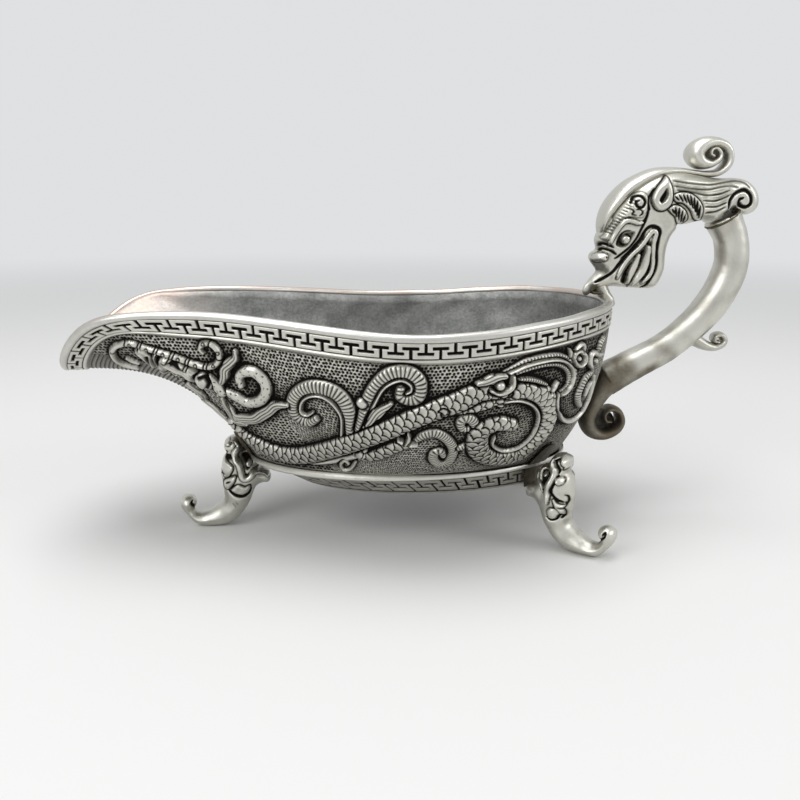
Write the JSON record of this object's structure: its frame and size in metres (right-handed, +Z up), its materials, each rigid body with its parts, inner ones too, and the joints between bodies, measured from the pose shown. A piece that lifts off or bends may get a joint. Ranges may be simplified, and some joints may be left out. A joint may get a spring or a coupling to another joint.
{
  "type": "spouted wine cup",
  "caption": "Oval metal wine cup with an open pouring spout, cast mask legs and a curved handle that ends in a dragon head biting the rim.",
  "frame": {"origin": "middle of the bounding box on the floor that the feet stand on", "axes": "+X towards the handle, with the spout at -X; +Y towards the left side when looking from the spout to the handle; +Z up"},
  "size_m": [0.149, 0.068, 0.0834],
  "materials": {
    "antiqued_plate": "silver plated copper alloy, darkened in the recesses and rubbed bright on the relief",
    "polished_casting": "silver plated casting, polished on the high spots",
    "braze": "dull solder seam"
  },
  "bodies": {
    "root": {"bowl": "antiqued_plate", "front_leg": "polished_casting", "right_rear_leg": "polished_casting", "left_rear_leg": "polished_casting", "front_leg_braze": "braze", "right_rear_leg_braze": "braze", "left_rear_leg_braze": "braze", "handle_stem": "polished_casting", "handle_braze": "braze", "handle_spur": "polished_casting", "neck_braze": "braze", "dragon_head": "polished_casting", "head_crest": "polished_casting", "rim_braze": "braze"}
  },
  "joints": []
}
